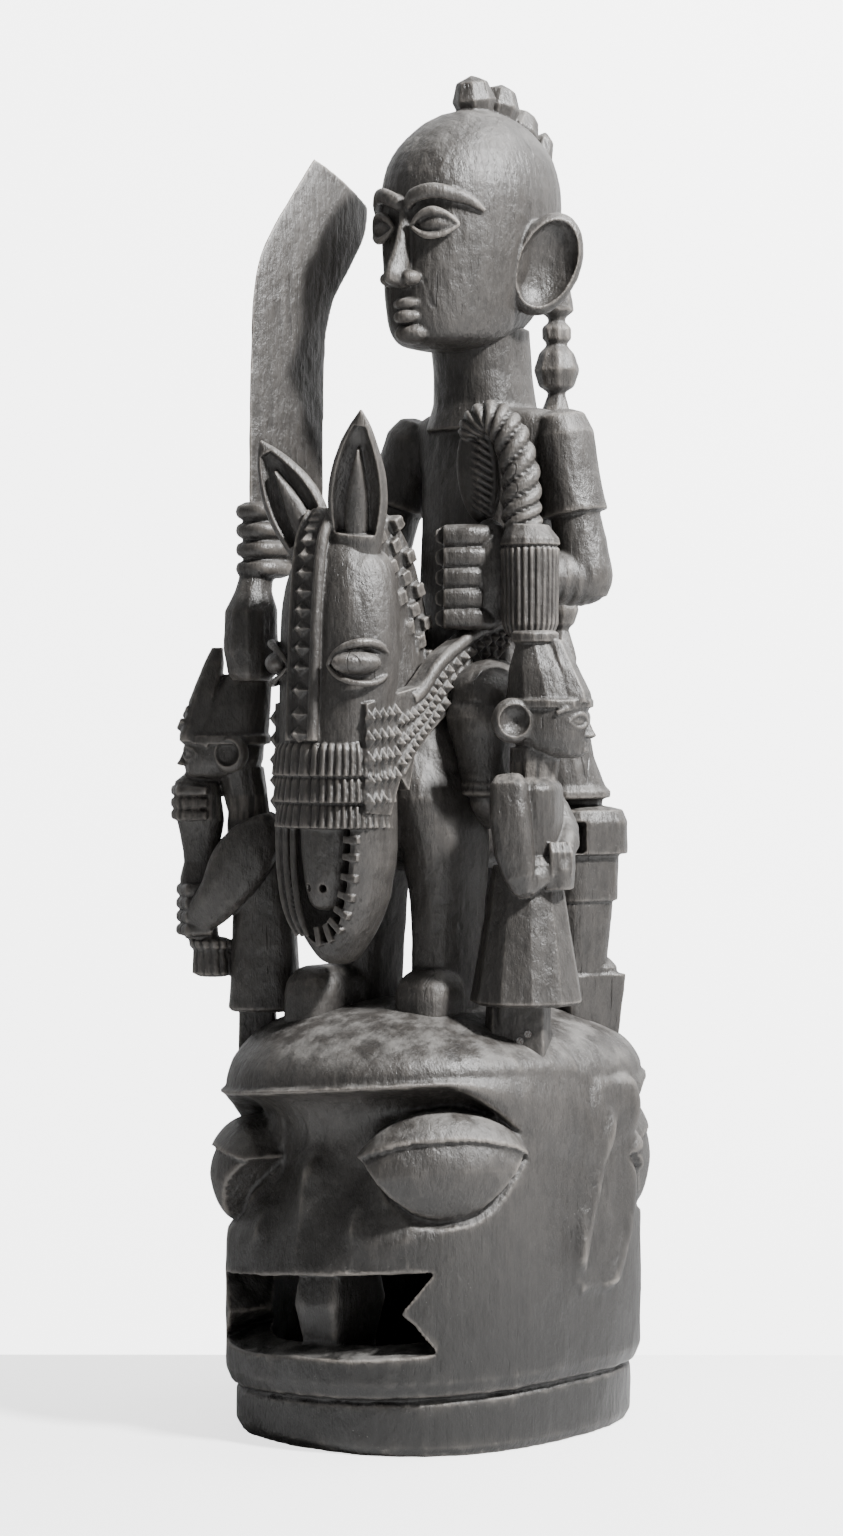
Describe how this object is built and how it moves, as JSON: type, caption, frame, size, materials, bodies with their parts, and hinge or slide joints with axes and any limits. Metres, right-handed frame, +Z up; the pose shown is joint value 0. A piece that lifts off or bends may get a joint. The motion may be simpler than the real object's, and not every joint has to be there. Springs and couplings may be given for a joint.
{
  "type": "carved helmet mask",
  "caption": "Carved wooden helmet mask with a grotesque face, carrying a mounted warrior and smaller attendants on its dome.",
  "frame": {"origin": "bottom centre of the carving's box, on the surface the rim stands on", "axes": "+Z up through the helmet to the rider's crest, -Y out of the main face, +X to the mask's own left"},
  "size_m": [0.3776, 0.384, 1.1993],
  "materials": {
    "wood": "dark, worn and dusty hand-adzed hardwood",
    "steel": "dull nail heads"
  },
  "bodies": {
    "root": {"epa_mask": "wood", "post_nail_1": "steel", "post_nail_2": "steel"}
  },
  "joints": []
}
